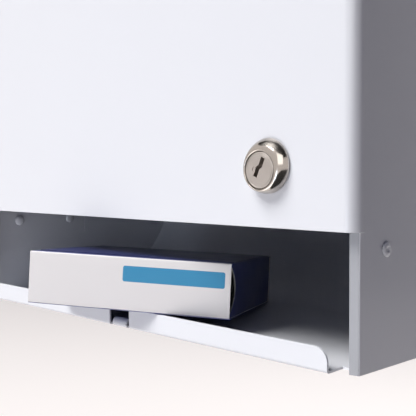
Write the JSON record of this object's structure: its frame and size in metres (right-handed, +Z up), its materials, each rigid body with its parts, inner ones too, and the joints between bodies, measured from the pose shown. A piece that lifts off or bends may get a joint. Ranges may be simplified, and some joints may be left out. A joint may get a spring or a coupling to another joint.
{
  "type": "sanitary napkin vending machine",
  "caption": "Wall-hung coin-operated vending cabinet in white enamelled sheet steel, with a hinged door, cam lock, turn knob and open delivery tray.",
  "frame": {"origin": "on the back face, at the middle of its width and height", "axes": "+X to the right as seen from the front, +Y into the wall, +Z up"},
  "size_m": [0.2751, 0.1905, 0.622],
  "materials": {
    "white_enamel": "smooth white baked enamel",
    "nickel": "satin nickel, finely turned",
    "zinc_steel": "zinc plated steel",
    "brass": "machined brass",
    "chrome": "chromed casting",
    "carton_board": "coated carton board, unprinted face",
    "black_rubber": "matte black rubber"
  },
  "bodies": {
    "cabinet": {"back_panel": "white_enamel", "left_side_panel": "white_enamel", "right_side_panel": "white_enamel", "top_panel": "white_enamel", "delivery_tray": "white_enamel", "left_wall_rivet_1": "white_enamel", "left_wall_rivet_2": "white_enamel", "right_wall_rivet_1": "white_enamel", "right_wall_rivet_2": "white_enamel", "hinge_leaf_cabinet": "zinc_steel", "hinge_pin": "zinc_steel", "lock_strike": "zinc_steel", "magazine_shelf": "zinc_steel", "magazine_left_guide": "zinc_steel", "magazine_partition": "zinc_steel", "magazine_back_guide": "zinc_steel", "rack_guide": "zinc_steel", "mechanism_plate": "zinc_steel", "mechanism_housing": "zinc_steel", "coin_plate": "chrome", "coin_track": "brass", "spring_case": "zinc_steel", "return_spring": "zinc_steel", "return_lever_spring": "zinc_steel", "spring_seat": "zinc_steel", "coin_return_cup": "zinc_steel", "coin_chute": "zinc_steel", "coin_box_shelf": "zinc_steel", "drop_baffle": "zinc_steel"},
    "door": {"door_panel": "white_enamel", "hinge_leaf_door": "zinc_steel", "door_bumper_left": "black_rubber", "door_bumper_right": "black_rubber", "lock_body": "nickel", "lock_nut": "zinc_steel"},
    "lock": {"lock_plug": "nickel", "lock_cam": "zinc_steel", "cam_screw": "zinc_steel"},
    "knob": {"vend_knob": "chrome", "knob_shaft": "zinc_steel", "coin_drum": "brass", "pinion": "brass"},
    "ejector": {"ejector_pusher": "zinc_steel", "ejector_rack": "zinc_steel"},
    "shelf_carton": {"next_carton": "carton_board"},
    "stock": {"stock_carton_1": "carton_board", "stock_carton_2": "carton_board", "stock_carton_3": "carton_board", "stock_carton_4": "carton_board", "stock_carton_5": "carton_board", "stock_carton_6": "carton_board", "stock_carton_7": "carton_board", "stock_carton_8": "carton_board"},
    "follower": {"follower_weight": "zinc_steel", "follower_handle": "zinc_steel"},
    "coin_return": {"return_lever": "chrome"},
    "money_box": {"coin_box": "zinc_steel", "coin_box_handle": "zinc_steel"},
    "tray_carton": {"dispensed_carton": "carton_board"}
  },
  "joints": [
    {"name": "door_swing", "type": "hinge", "parent": "cabinet", "child": "door", "pos_m": [-0.1371, -0.1476, 0], "axis": [0, 0, -1], "range_deg": [0, 105]},
    {"name": "lock_turn", "type": "hinge", "parent": "door", "child": "lock", "pos_m": [0.09405, -0.156, -0.23465], "axis": [0, 1, 0], "range_deg": [0, 90]},
    {"name": "knob_turn", "type": "hinge", "parent": "cabinet", "child": "knob", "pos_m": [0.06, -0.156, -0.061], "axis": [0, 1, 0], "range_deg": [0, 270], "stiffness_Nm_per_rad": 0.01, "springref_deg": -28.65},
    {"name": "ejector_slide", "type": "slide", "parent": "cabinet", "child": "ejector", "axis": [1, 0, 0], "range_m": [0, 0.0566]},
    {"name": "next_carton_slide", "type": "slide", "parent": "cabinet", "child": "shelf_carton", "axis": [1, 0, 0], "range_m": [0, 0.0566]},
    {"name": "stock_lift", "type": "slide", "parent": "cabinet", "child": "stock", "axis": [0, 0, 1], "range_m": [0, 0.015]},
    {"name": "follower_lift", "type": "slide", "parent": "stock", "child": "follower", "axis": [0, 0, 1], "range_m": [0, 0.12]},
    {"name": "return_lever_slide", "type": "slide", "parent": "cabinet", "child": "coin_return", "axis": [0, 0, -1], "range_m": [0, 0.008], "stiffness_N_per_m": 60, "springref_m": -0.004, "deforming": ["return_lever_spring"]},
    {"name": "coin_box_lift", "type": "slide", "parent": "cabinet", "child": "money_box", "axis": [0, 0, 1], "range_m": [0, 0.01]},
    {"name": "dispensed_carton_slide", "type": "slide", "parent": "cabinet", "child": "tray_carton", "axis": [0.4874, -0.8708, 0.0647], "range_m": [0, 0.11]}
  ],
  "couplings": [
    {"joint": "ejector_slide", "follows": "knob_turn", "m_per_rad": 0.012},
    {"joint": "next_carton_slide", "follows": "knob_turn", "m_per_rad": 0.012}
  ]
}
